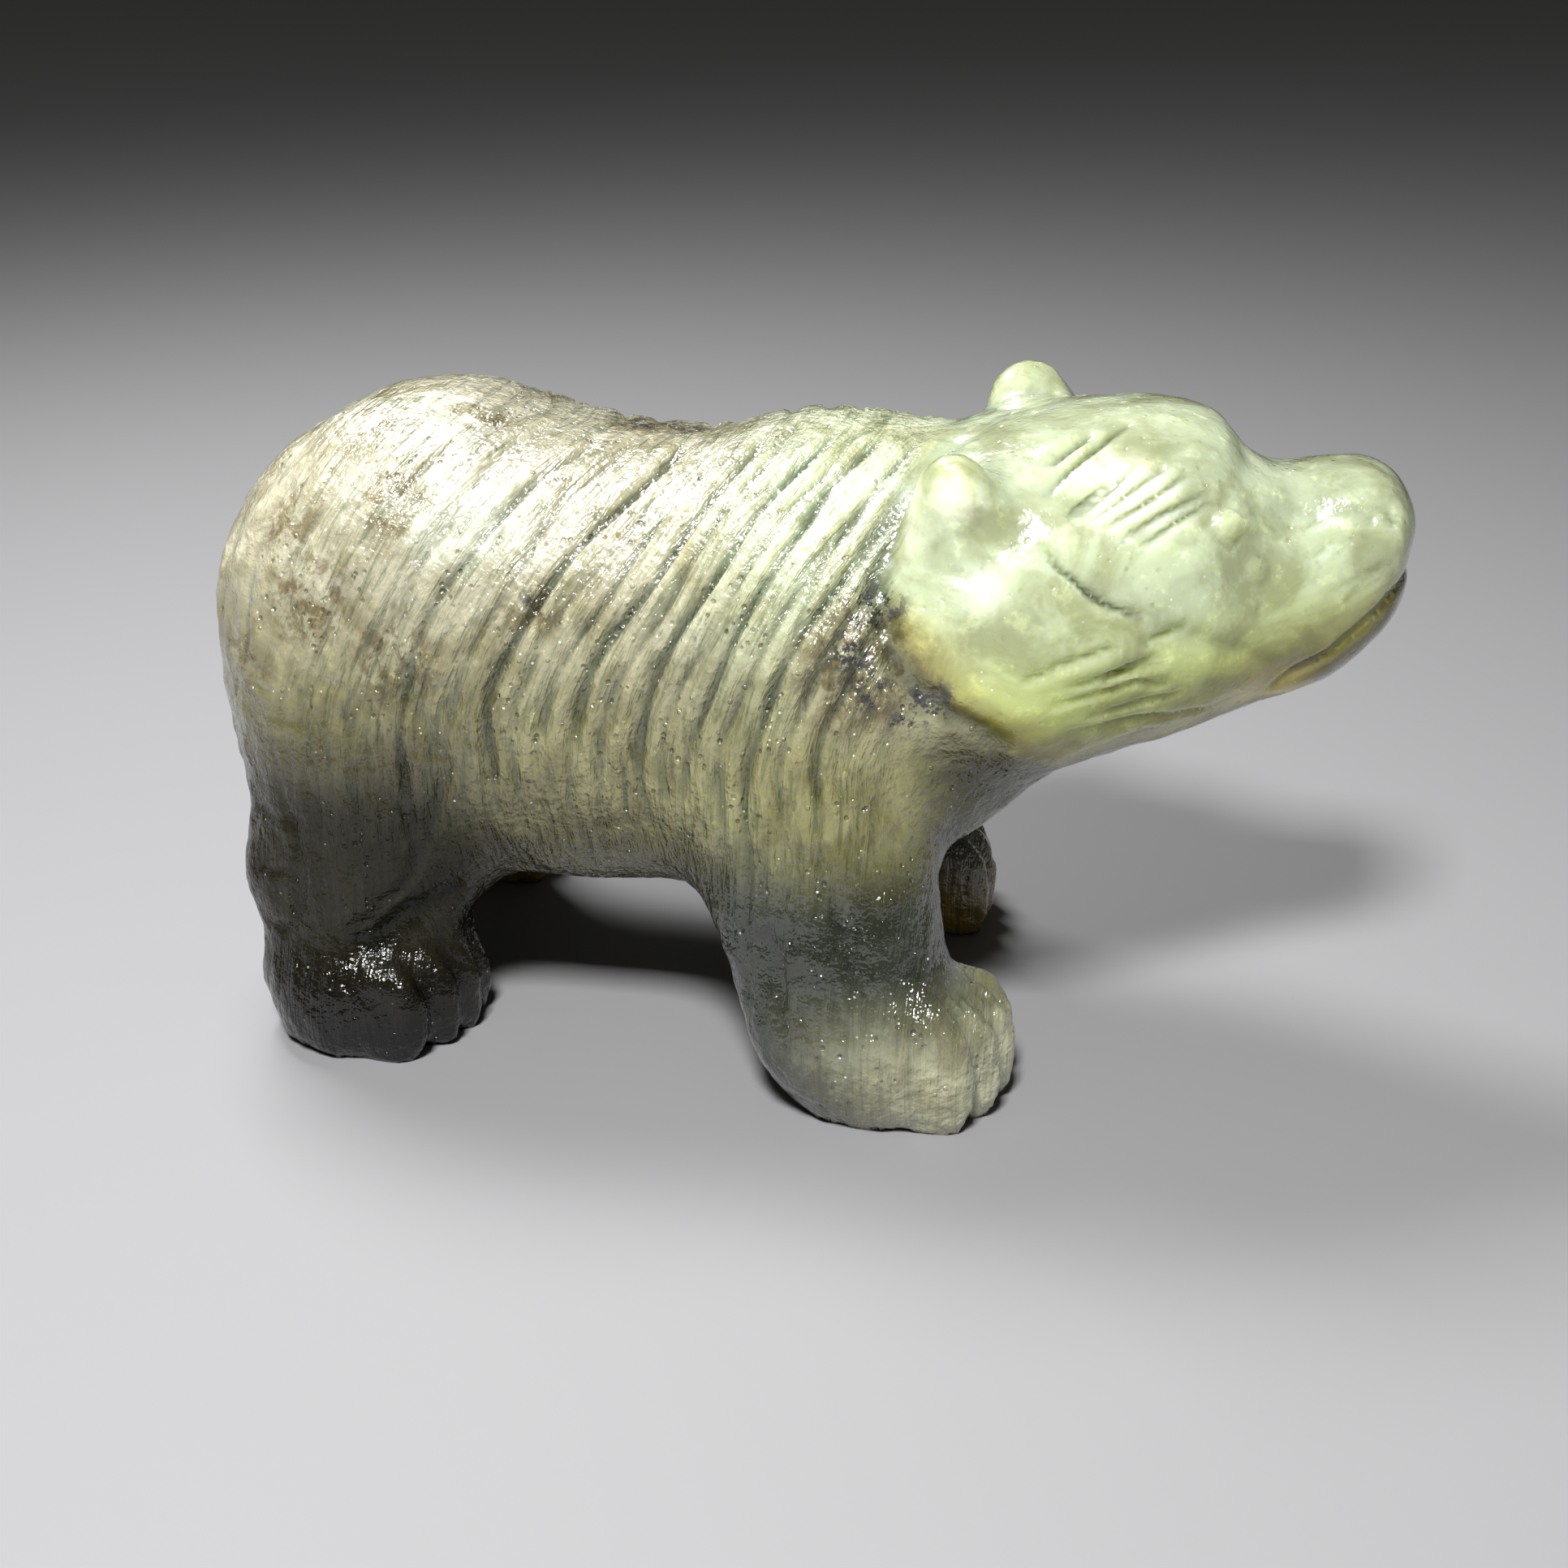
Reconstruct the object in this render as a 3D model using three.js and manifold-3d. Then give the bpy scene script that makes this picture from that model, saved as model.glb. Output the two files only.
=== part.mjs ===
// A small polar bear carved from one pebble of labradorite, walking on all fours, on its own flat soles.
// Millimetres, +Z up, +X towards the nose, +Y to the bear's left, origin under the middle of its box.
// The whole figure is one stone, so it is one closed solid.

import * as THREE from 'three';
import Module from 'manifold-3d';

const solids = await Module();
solids.setup();
const { Manifold, Mesh } = solids;

// Driving sizes of the carving.
const bearLength = 50;        // rump to nose
const bodyWidth = 18.2;       // across the ribs
const haunchWidth = 19.4;     // across the thighs
const shoulderWidth = 19.2;   // across the upper arms
const headWidth = 16.8;       // across the cheeks
const jawWidth = 5.8;         // across the lower jaw
const stanceWidth = 22.2;     // over the outer edges of the paws
const pawWidth = 6.8;         // across one paw
const pawLength = 9.1;        // heel to toes
const toesPerPaw = 4;
const toeProud = 0.45;        // how far each toe swells out of its paw
const toeSlant = 0.26;        // how far the row of toes falls back towards the outer edge
const earWidth = 3.3;         // front edge to back edge of an ear
const earHeight = 4.8;
const earThickness = 2.7;
const earSpacing = 10.4;      // middle to middle of the ears, at their roots
const earLean = 24;           // degrees outwards
const eyeSize = 1.3;          // across one eye
const headTurn = 6;           // degrees, to the bear's left
const furPitch = 1.75;        // between two combed grooves of the coat
const furDepth = 0.26;        // of the deepest grooves
const creaseDepth = 0.45;     // of the deepest strokes on the head

// Fineness of the facets.
const cell = bearLength / 116; // grid step of the first, fine surface
const evenPasses = 2;          // how often the fine surface is evened out
const facetCount = 9600;       // triangles left on the finished stone
const soleTolerance = 0.004;   // the least edge kept where the soles are ground flat

// The pose and the carving are drawn as shares of the length: one unit is a fiftieth of it.
const unit = bearLength / 50;

// Soft joining and cutting of forms given by their distance; reach is how far the fillet spreads.
function join(a, b, reach) {
  const h = Math.max(reach - Math.abs(a - b), 0) / reach;
  return Math.min(a, b) - h * h * reach / 4;
}

function cut(a, b, reach) {
  return -join(-a, b, reach);
}

function clamp01(t) {
  return Math.min(Math.max(t, 0), 1);
}

function ramp(low, high, t) {
  const s = clamp01((t - low) / (high - low));
  return s * s * (3 - 2 * s);
}

// A smooth curve through [x, value] pairs, with its slope; it runs on straight past both ends.
function curveThrough(pairs) {
  const last = pairs.length - 1;
  const slopes = pairs.map((pair, i) => {
    const before = pairs[Math.max(i - 1, 0)];
    const after = pairs[Math.min(i + 1, last)];
    return (after[1] - before[1]) / (after[0] - before[0]);
  });
  return (x) => {
    if (x <= pairs[0][0]) {
      return [pairs[0][1] + slopes[0] * (x - pairs[0][0]), slopes[0]];
    }
    if (x >= pairs[last][0]) {
      return [pairs[last][1] + slopes[last] * (x - pairs[last][0]), slopes[last]];
    }
    let i = 0;
    while (x > pairs[i + 1][0]) {
      i += 1;
    }
    const span = pairs[i + 1][0] - pairs[i][0];
    const t = (x - pairs[i][0]) / span;
    const from = pairs[i][1];
    const to = pairs[i + 1][1];
    const a = slopes[i] * span - (to - from);
    const b = -slopes[i + 1] * span + (to - from);
    const value = from + t * (to - from) + t * (1 - t) * (a * (1 - t) + b * t);
    const slope = (to - from + (1 - 2 * t) * (a * (1 - t) + b * t) + t * (1 - t) * (b - a)) / span;
    return [value, slope];
  };
}

// A body swept along X through rings [x, underside, top, half width], all in units. The first and last
// ring have no height: the square of the half height runs out there, which closes the body round.
// Fullness 2 gives oval sections, and more than 2 squarer ones.
function sweep(rings, halfWidest, fullness) {
  const widest = Math.max(...rings.map((ring) => ring[3]));
  const middle = curveThrough(rings.map(([x, low, high]) => [x * unit, (low + high) / 2 * unit]));
  const square = curveThrough(rings.map(([x, low, high]) => [x * unit, ((high - low) / 2 * unit) ** 2]));
  const aspects = rings.map(([x, low, high, half]) => {
    return [x * unit, high > low ? half / widest * halfWidest / ((high - low) / 2 * unit) : 0];
  });
  aspects[0][1] = aspects[1][1];
  aspects[aspects.length - 1][1] = aspects[aspects.length - 2][1];
  const aspect = curveThrough(aspects);
  return (x, y, z) => {
    const [m, mSlope] = middle(x);
    const [s, sSlope] = square(x);
    const [a, aSlope] = aspect(x);
    const across = y / a;
    const up = z - m;
    const sum = Math.abs(across) ** fullness + Math.abs(up) ** fullness + 1e-9;
    const value = sum ** (2 / fullness) - s;
    const share = 2 * sum ** (2 / fullness - 1);
    const byAcross = share * Math.abs(across) ** (fullness - 1) * Math.sign(across);
    const byUp = share * Math.abs(up) ** (fullness - 1) * Math.sign(up);
    const gx = -byAcross * across * aSlope / a - byUp * mSlope - sSlope;
    const gy = byAcross / a;
    return value / Math.sqrt(gx * gx + gy * gy + byUp * byUp + 0.5 * unit * unit);
  };
}

function ellipsoid(centre, half) {
  return (x, y, z) => {
    const px = (x - centre[0]) / half[0];
    const py = (y - centre[1]) / half[1];
    const pz = (z - centre[2]) / half[2];
    const reach = Math.sqrt(px * px + py * py + pz * pz);
    const steep = Math.sqrt((px / half[0]) ** 2 + (py / half[1]) ** 2 + (pz / half[2]) ** 2);
    return steep > 0 ? reach * (reach - 1) / steep : -Math.min(...half);
  };
}

// A tapering limb from one centre to another, with round ends, squeezed sideways by the factor given.
function limb(from, to, fromRadius, toRadius, squeeze) {
  const axis = [to[0] - from[0], (to[1] - from[1]) / squeeze, to[2] - from[2]];
  const length2 = axis[0] ** 2 + axis[1] ** 2 + axis[2] ** 2;
  return (x, y, z) => {
    const px = x - from[0];
    const py = (y - from[1]) / squeeze;
    const pz = z - from[2];
    const t = clamp01((px * axis[0] + py * axis[1] + pz * axis[2]) / length2);
    const away = Math.sqrt((px - t * axis[0]) ** 2 + (py - t * axis[1]) ** 2 + (pz - t * axis[2]) ** 2);
    return (away - fromRadius - t * (toRadius - fromRadius)) * squeeze;
  };
}

// The same form turned about the upright through (x, y), in degrees to the left.
function turned(form, pivotX, pivotY, degrees) {
  const c = Math.cos(degrees * Math.PI / 180);
  const s = Math.sin(degrees * Math.PI / 180);
  return (x, y, z) => {
    const dx = x - pivotX;
    const dy = y - pivotY;
    return form(pivotX + c * dx + s * dy, pivotY - s * dx + c * dy, z);
  };
}

// The trunk from the rump to the breast, with the dip of the loins and the hump of the shoulders.
function trunk() {
  return sweep([
    [-26.2, 17, 17, 0],
    [-25.4, 13.8, 20, 4.2],
    [-24, 10.4, 22.7, 6.6],
    [-22, 7.8, 24.5, 8],
    [-19, 6.6, 26, 8.8],
    [-15.8, 6.2, 26.3, 9.1],
    [-11, 5.9, 25.2, 8.9],
    [-5.6, 6.2, 24.8, 8.7],
    [-1.4, 7, 25.9, 8.9],
    [2.2, 7.6, 25.7, 8.7],
    [5.2, 8.5, 25.1, 7.2],
    [7.8, 10.6, 23, 5.6],
    [9.8, 16, 16, 0],
  ], bodyWidth / 2, 2.5);
}

// The head with its heavy ruff, from behind the cheeks to the nose, and the narrower lower jaw under it.
function skull() {
  return sweep([
    [1.6, 19.4, 19.4, 0],
    [2.5, 15.6, 23.4, 6.2],
    [4.4, 12.9, 25.3, 8],
    [7.4, 11.9, 26.4, 8.3],
    [10.4, 12.6, 26.9, 7.6],
    [13, 13.4, 26.9, 6.5],
    [14.8, 14, 26.4, 5.5],
    [16, 14.7, 25.2, 4.7],
    [17.2, 15.4, 24.6, 4.1],
    [19, 16.9, 24.9, 3.6],
    [20.8, 18.9, 24.9, 3.2],
    [21.9, 20.4, 24.2, 2.5],
    [22.6, 22.5, 22.5, 0],
  ], headWidth / 2, 2.2);
}

function lowerJaw() {
  return sweep([
    [11, 16, 16, 0],
    [12.5, 13.9, 19.4, 2.2],
    [15, 14.1, 20, 2.7],
    [17.5, 15, 20.6, 2.7],
    [19.6, 16.1, 21.4, 2.6],
    [21.5, 17.8, 22, 2.2],
    [22.6, 20.2, 20.2, 0],
  ], jawWidth / 2, 2.4);
}

// An ear leans out from its root, with a hollow in its outer face. The carver cut the right ear further
// back on the head than the left one.
function ear(side) {
  const along = (side < 0 ? 4.7 : 7.7) * unit;
  const root = (side < 0 ? 22.7 : 23) * unit;
  const middle = root + earHeight * 0.4;
  const shell = ellipsoid([along, 0, middle], [earWidth / 2, earThickness / 2, earHeight / 2]);
  const hollow = ellipsoid(
    [along + earWidth * 0.2, side * earThickness * 0.88, middle + earHeight * 0.12],
    [earWidth * 0.28, earThickness * 0.42, earHeight * 0.26],
  );
  const c = Math.cos(side * earLean * Math.PI / 180);
  const s = Math.sin(side * earLean * Math.PI / 180);
  return (x, y, z) => {
    const out = y - side * earSpacing / 2;
    const up = z - root;
    const across = c * out - s * up;
    const height = root + s * out + c * up;
    return cut(shell(x, across, height), hollow(x, across, height), 0.8 * unit);
  };
}

function eye(side) {
  return ellipsoid([15.3 * unit, side * 4.2 * unit, 23.4 * unit], [eyeSize / 2, eyeSize / 2, eyeSize / 2]);
}

// One paw, heel to toes along X, with its row of toes and a groove between each two. The toes fall back
// towards the outer edge.
function paw(side, frontX, middleY, height) {
  const padLength = pawLength - 1.6 * unit;
  const pad = ellipsoid(
    [frontX - pawLength + padLength / 2, middleY, height * 0.36],
    [padLength / 2, pawWidth / 2, height * 0.64],
  );
  const pitch = pawWidth * 0.86 / toesPerPaw;
  const toes = [];
  for (let i = 0; i < toesPerPaw; i += 1) {
    const offset = i - (toesPerPaw - 1) / 2;
    const back = toeSlant * (offset * side + 0.75) ** 2 * unit;
    toes.push(ellipsoid(
      [frontX - pitch - toeProud - back, middleY + offset * pitch, height * 0.34],
      [pitch + toeProud, pitch * 0.56, height * 0.54],
    ));
  }
  return (x, y, z) => {
    let d = pad(x, y, z);
    for (const toe of toes) {
      d = join(d, toe(x, y, z), 0.35 * unit);
    }
    return d;
  };
}

// A fore leg: shoulder blade, upper arm and a strong forearm that runs forward and out into the paw.
function foreLeg(side, stride, splay) {
  const outer = side * (stanceWidth / 2 + splay - pawWidth / 2);
  const high = side * (shoulderWidth / 2 - 4.4 * unit);
  const blade = ellipsoid([(-1.8 + 0.2 * stride) * unit, high, 16.6 * unit], [5 * unit, 4.4 * unit, 7.6 * unit]);
  const arm = limb(
    [(-1.7 + 0.5 * stride) * unit, high + side * 0.4 * unit, 11.6 * unit],
    [(-0.4 + stride) * unit, outer + side * 0.1 * unit, 3.8 * unit],
    5.2 * unit, 4.1 * unit, 0.84,
  );
  const foot = paw(side, (6.3 + stride) * unit, outer, 5.8 * unit);
  return (x, y, z) => join(join(blade(x, y, z), arm(x, y, z), 2 * unit), foot(x, y, z), 1.6 * unit);
}

// A hind leg: the round thigh hangs over a shorter shank, which stands in its own paw.
function hindLeg(side, stride, splay) {
  const outer = side * (stanceWidth / 2 + splay - pawWidth / 2);
  const high = side * (haunchWidth / 2 - 4.9 * unit);
  const thigh = ellipsoid([(-18.4 + stride) * unit, high, 11.8 * unit], [5.9 * unit, 5 * unit, 8.2 * unit]);
  const shank = limb(
    [(-19.3 + stride) * unit, outer - side * 2 * unit, 6.6 * unit],
    [(-19.5 + stride) * unit, outer - side * 1.1 * unit, 2.8 * unit],
    4.7 * unit, 3.7 * unit, 0.86,
  );
  const foot = paw(side, (-13.9 + stride) * unit, outer - side * 0.2 * unit, 4.9 * unit);
  return (x, y, z) => join(join(thigh(x, y, z), shank(x, y, z), 1.2 * unit), foot(x, y, z), 1.2 * unit);
}

function tail() {
  return ellipsoid([-25.8 * unit, 0, 16.8 * unit], [1.2 * unit, 1.9 * unit, 3.2 * unit]);
}

// A fixed, even scatter of values between 0 and 1, so that no two grooves of the coat are alike.
function scatter(i) {
  const v = Math.sin(i * 12.9898 + 4.1414) * 43758.5453;
  return v - Math.floor(v);
}

// Combed grooves of the coat: from the spine they sweep back and down, then hang straight on the flank.
function coat(x, y, z) {
  const height = clamp01((z / unit - 14.5) / 10);
  const phase = x + 6.3 * unit * (1 - height * height);
  const nearest = Math.round((phase + 30 * unit) / furPitch);
  let depth = 0;
  for (let i = nearest - 1; i <= nearest + 1; i += 1) {
    const wander = 0.25 * (scatter(i) - 0.5) + 0.08 * Math.sin(z / (2.6 * unit) + 2.4 * i);
    const centre = (i + 2 * wander) * furPitch - 30 * unit;
    const offset = (phase - centre) / (furPitch * 0.3);
    const low = (9.5 + 4 * scatter(i + 40)) * unit;
    const strength = (0.45 + 0.55 * scatter(i + 80)) * ramp(low, low + 3 * unit, z);
    depth = Math.max(depth, strength * Math.exp(-offset * offset));
  }
  const front = 1 - ramp(3 * unit, 4.6 * unit, x);
  const rear = ramp(-24 * unit, -20 * unit, x);
  const spine = ramp(2.8 * unit, 5.6 * unit, Math.abs(y - 1.2 * unit));
  return furDepth * depth * front * rear * spine;
}

// A single chisel stroke on the side of the figure, from one (x, z) place to another, in units.
function stroke(from, to, width) {
  const ax = (to[0] - from[0]) * unit;
  const az = (to[1] - from[1]) * unit;
  const length2 = ax * ax + az * az;
  return (x, z) => {
    const px = x - from[0] * unit;
    const pz = z - from[1] * unit;
    const t = (px * ax + pz * az) / length2;
    const s = clamp01(t);
    const away2 = ((px - s * ax) ** 2 + (pz - s * az) ** 2) / (width * unit) ** 2;
    return Math.exp(-away2);
  };
}

// The strokes on the head: combed fur over the crown and under the cheek, and the long cheek fold.
function headStrokes() {
  const strokes = [];
  for (let i = 0; i < 4; i += 1) {
    strokes.push([stroke([9.2 + i * 1.1, 23.9 - i * 0.5], [11 + i * 1.5, 26.2 - i * 0.4], 0.42), 0.5]);
    strokes.push([stroke([7.8 + i * 0.7, 17.4 - i * 1.1], [12.6 + i, 19 - i], 0.45), 0.4]);
  }
  strokes.push([stroke([9.4, 22.2], [11.8, 20], 0.6), 0.5]);
  strokes.push([stroke([11.8, 20], [15.8, 18.7], 0.6), 0.5]);
  return (x, z) => {
    let depth = 0;
    for (const [line, strength] of strokes) {
      depth = Math.max(depth, strength * line(x, z));
    }
    return depth * creaseDepth;
  };
}

// The finished form: distance to the stone's surface, negative inside.
function bearForm() {
  const pivot = 5 * unit;
  const body = trunk();
  const head = turned(skull(), pivot, 0, headTurn);
  const jaw = turned(lowerJaw(), pivot, 0, headTurn);
  const lines = headStrokes();
  const headLines = turned((x, y, z) => lines(x, z), pivot, 0, headTurn);
  const legs = [
    foreLeg(-1, 2.7, 0.5 * unit),
    foreLeg(1, 0.3, 0.4 * unit),
    hindLeg(-1, 0, 0.1 * unit),
    hindLeg(1, -1.2, 1.4 * unit),
  ];
  const ears = [turned(ear(-1), pivot, 0, headTurn), turned(ear(1), pivot, 0, headTurn)];
  const eyes = [turned(eye(-1), pivot, 0, headTurn), turned(eye(1), pivot, 0, headTurn)];
  const stub = tail();
  return (x, y, z) => {
    let d = body(x, y, z);
    for (const leg of legs) {
      d = join(d, leg(x, y, z), 1.6 * unit);
    }
    d = join(d, stub(x, y, z), 0.6 * unit) + coat(x, y, z);
    let face = join(head(x, y, z), jaw(x, y, z), 0.4 * unit) + headLines(x, y, z);
    for (const lobe of ears) {
      face = join(face, lobe(x, y, z), 1.6 * unit);
    }
    for (const ball of eyes) {
      face = join(face, ball(x, y, z), 0.25 * unit);
    }
    return join(d, face, unit);
  };
}

// The fine surface: each grid cube is six tetrahedra, and each tetrahedron gives one or two triangles
// where the form changes sign, so the surface is always closed.
function surfaceOf(form, low, high) {
  const count = [0, 1, 2].map((k) => Math.ceil((high[k] - low[k]) / cell) + 1);
  const at = (i, j, k) => i + count[0] * (j + count[1] * k);
  const values = new Float64Array(count[0] * count[1] * count[2]);
  const place = (n) => {
    const i = n % count[0];
    const j = Math.floor(n / count[0]) % count[1];
    const k = Math.floor(n / (count[0] * count[1]));
    return [low[0] + i * cell, low[1] + j * cell, low[2] + k * cell];
  };
  for (let n = 0; n < values.length; n += 1) {
    const v = form(...place(n));
    values[n] = Math.abs(v) < 0.03 * cell ? 0.03 * cell * (v < 0 ? -1 : 1) : v;
  }
  const points = [];
  const made = new Map();
  const crossing = (a, b) => {
    const key = Math.min(a, b) * values.length + Math.max(a, b);
    if (!made.has(key)) {
      made.set(key, points.length);
      const t = values[a] / (values[a] - values[b]);
      points.push(place(a).map((v, c) => v + t * (place(b)[c] - v)));
    }
    return made.get(key);
  };
  const corners = [[0, 0, 0], [1, 0, 0], [1, 1, 0], [0, 1, 0], [0, 0, 1], [1, 0, 1], [1, 1, 1], [0, 1, 1]];
  const tetrahedra = [[0, 5, 1, 6], [0, 1, 2, 6], [0, 2, 3, 6], [0, 3, 7, 6], [0, 7, 4, 6], [0, 4, 5, 6]];
  const faces = [];
  for (let k = 0; k < count[2] - 1; k += 1) {
    for (let j = 0; j < count[1] - 1; j += 1) {
      for (let i = 0; i < count[0] - 1; i += 1) {
        const cube = corners.map((c) => at(i + c[0], j + c[1], k + c[2]));
        const within = cube.filter((n) => values[n] < 0).length;
        if (within === 0 || within === 8) {
          continue;
        }
        for (const tetrahedron of tetrahedra) {
          const inner = tetrahedron.map((c) => cube[c]).filter((n) => values[n] < 0);
          const outer = tetrahedron.map((c) => cube[c]).filter((n) => values[n] >= 0);
          if (inner.length === 1) {
            faces.push(outer.map((n) => crossing(inner[0], n)), inner[0]);
          } else if (inner.length === 3) {
            faces.push(inner.map((n) => crossing(n, outer[0])), inner[0]);
          } else if (inner.length === 2) {
            const [a, b] = inner;
            const [c, e] = outer;
            const ring = [crossing(a, c), crossing(a, e), crossing(b, e), crossing(b, c)];
            faces.push([ring[0], ring[1], ring[2]], a, [ring[0], ring[2], ring[3]], a);
          }
        }
      }
    }
  }
  return { points, faces: facingOut(points, faces, place) };
}

// Evens the triangles out: each point moves to the middle of its neighbours and then back onto the form.
function evened({ points, faces }, form) {
  const sums = points.map(() => [0, 0, 0, 0]);
  for (const face of faces) {
    for (const v of face) {
      for (const w of face) {
        points[w].forEach((value, k) => {
          sums[v][k] += value;
        });
        sums[v][3] += 1;
      }
    }
  }
  const step = 0.05 * cell;
  const moved = sums.map(([sx, sy, sz, n]) => {
    const [x, y, z] = [sx / n, sy / n, sz / n];
    const value = form(x, y, z);
    const gx = (form(x + step, y, z) - value) / step;
    const gy = (form(x, y + step, z) - value) / step;
    const gz = (form(x, y, z + step) - value) / step;
    const push = value / Math.max(gx * gx + gy * gy + gz * gz, 0.25);
    return [x - push * gx, y - push * gy, z - push * gz];
  });
  return { points: moved, faces };
}

// Turns each triangle so that the grid corner inside the stone lies behind it.
function facingOut(points, pairs, place) {
  const faces = [];
  for (let i = 0; i < pairs.length; i += 2) {
    const [a, b, c] = pairs[i];
    const inside = place(pairs[i + 1]);
    const n = normalOf(points[a], points[b], points[c]);
    const side = n[0] * (inside[0] - points[a][0]) + n[1] * (inside[1] - points[a][1])
      + n[2] * (inside[2] - points[a][2]);
    faces.push(side < 0 ? [a, b, c] : [a, c, b]);
  }
  return faces;
}

// A triangle's normal, as long as twice its area.
function normalOf(a, b, c) {
  const ux = b[0] - a[0];
  const uy = b[1] - a[1];
  const uz = b[2] - a[2];
  const vx = c[0] - a[0];
  const vy = c[1] - a[1];
  const vz = c[2] - a[2];
  return [uy * vz - uz * vy, uz * vx - ux * vz, ux * vy - uy * vx];
}

// How plump a triangle is: 0.29 with three equal sides, and nearly nothing for a needle.
function plumpness(a, b, c) {
  let sides = 0;
  for (let k = 0; k < 3; k += 1) {
    sides += (a[k] - b[k]) ** 2 + (b[k] - c[k]) ** 2 + (c[k] - a[k]) ** 2;
  }
  return Math.hypot(...normalOf(a, b, c)) / (sides + 1e-12);
}

// A heap of edges, cheapest first.
class EdgeHeap {
  constructor() {
    this.items = [];
  }

  push(item) {
    const items = this.items;
    let i = items.length;
    items.push(item);
    while (i > 0) {
      const parent = (i - 1) >> 1;
      if (items[parent].cost <= item.cost) {
        break;
      }
      items[i] = items[parent];
      i = parent;
    }
    items[i] = item;
  }

  pop() {
    const items = this.items;
    const top = items[0];
    const item = items.pop();
    if (items.length > 0) {
      let i = 0;
      for (;;) {
        let child = 2 * i + 1;
        if (child >= items.length) {
          break;
        }
        if (child + 1 < items.length && items[child + 1].cost < items[child].cost) {
          child += 1;
        }
        if (items[child].cost >= item.cost) {
          break;
        }
        items[i] = items[child];
        i = child;
      }
      items[i] = item;
    }
    return top;
  }
}

// The sum of squared distances to a set of planes, as its ten numbers: xx xy xz xd yy yz yd zz zd dd.
function planeSum(n, point) {
  const area = Math.hypot(n[0], n[1], n[2]);
  const [a, b, c] = n.map((v) => v / (area + 1e-12));
  const d = -(a * point[0] + b * point[1] + c * point[2]);
  return [a * a, a * b, a * c, a * d, b * b, b * c, b * d, c * c, c * d, d * d].map((v) => v * area);
}

function error(q, p) {
  const [x, y, z] = p;
  return q[0] * x * x + 2 * q[1] * x * y + 2 * q[2] * x * z + 2 * q[3] * x + q[4] * y * y
    + 2 * q[5] * y * z + 2 * q[6] * y + q[7] * z * z + 2 * q[8] * z + q[9];
}

// The place with the least error, or null where the planes leave it loose.
function bestPlace(q) {
  const [xx, xy, xz, xd, yy, yz, yd, zz, zd] = q;
  const m = new THREE.Matrix3().set(xx, xy, xz, xy, yy, yz, xz, yz, zz);
  const size = xx + yy + zz;
  if (Math.abs(m.determinant()) < 1e-5 * size ** 3) {
    return null;
  }
  const v = new THREE.Vector3(-xd, -yd, -zd).applyMatrix3(m.invert());
  return [v.x, v.y, v.z];
}

// Draws short edges together, the least telling first, until only the wanted number of facets is left.
// An edge stays if drawing it together would fold a facet over or pinch the surface.
function thinnedOut({ points, faces }, wanted) {
  const sums = points.map(() => new Array(10).fill(0));
  const around = points.map(() => new Set());
  faces.forEach((face, f) => {
    const q = planeSum(normalOf(...face.map((v) => points[v])), points[face[0]]);
    for (const v of face) {
      around[v].add(f);
      q.forEach((value, k) => {
        sums[v][k] += value;
      });
    }
  });
  const stamp = new Uint32Array(points.length);
  const heap = new EdgeHeap();
  const neighbours = (v) => {
    const found = new Set();
    for (const f of around[v]) {
      for (const w of faces[f]) {
        found.add(w);
      }
    }
    found.delete(v);
    return found;
  };
  const consider = (a, b) => {
    const q = sums[a].map((value, k) => value + sums[b][k]);
    const pa = points[a];
    const pb = points[b];
    const length2 = (pa[0] - pb[0]) ** 2 + (pa[1] - pb[1]) ** 2 + (pa[2] - pb[2]) ** 2;
    const middle = pa.map((v, k) => (v + pb[k]) / 2);
    const choices = [middle, pa, pb];
    const best = bestPlace(q);
    if (best && best.every((v, k) => Math.abs(v - middle[k]) < 2 * cell + Math.sqrt(length2))) {
      choices.unshift(best);
    }
    let goal = choices[0];
    let least = error(q, goal);
    for (const choice of choices) {
      const e = error(q, choice);
      if (e < least - 1e-12) {
        least = e;
        goal = choice;
      }
    }
    heap.push({ cost: Math.max(least, 0) + 4e-5 * length2 * length2, a, b, goal, sum: stamp[a] + stamp[b] });
  };
  const folds = (v, other, goal) => {
    for (const f of around[v]) {
      if (faces[f].includes(other)) {
        continue;
      }
      const before = normalOf(...faces[f].map((w) => points[w]));
      const after = normalOf(...faces[f].map((w) => (w === v ? goal : points[w])));
      const dot = before[0] * after[0] + before[1] * after[1] + before[2] * after[2];
      const size = Math.hypot(...before) * Math.hypot(...after);
      const wasPlump = plumpness(...faces[f].map((w) => points[w]));
      const isPlump = plumpness(...faces[f].map((w) => (w === v ? goal : points[w])));
      if (dot < 0.4 * size || (isPlump < 0.02 && isPlump < wasPlump)) {
        return true;
      }
    }
    return false;
  };
  for (let v = 0; v < points.length; v += 1) {
    for (const w of neighbours(v)) {
      if (v < w) {
        consider(v, w);
      }
    }
  }
  let left = faces.length;
  while (left > wanted && heap.items.length > 0) {
    const { a, b, goal, sum } = heap.pop();
    if (around[a].size === 0 || around[b].size === 0 || sum !== stamp[a] + stamp[b]) {
      continue;
    }
    const nearA = neighbours(a);
    const shared = [...neighbours(b)].filter((v) => nearA.has(v));
    if (!nearA.has(b) || shared.length !== 2 || folds(a, b, goal) || folds(b, a, goal)) {
      continue;
    }
    for (const f of [...around[b]]) {
      if (faces[f].includes(a)) {
        for (const v of faces[f]) {
          around[v].delete(f);
        }
        faces[f] = null;
        left -= 1;
      } else {
        faces[f] = faces[f].map((v) => (v === b ? a : v));
        around[a].add(f);
      }
    }
    around[b].clear();
    points[a] = goal;
    sums[a] = sums[a].map((value, k) => value + sums[b][k]);
    stamp[a] += 1;
    for (const v of neighbours(a)) {
      consider(a, v);
    }
  }
  return { points, faces: faces.filter((face) => face !== null) };
}

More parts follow.
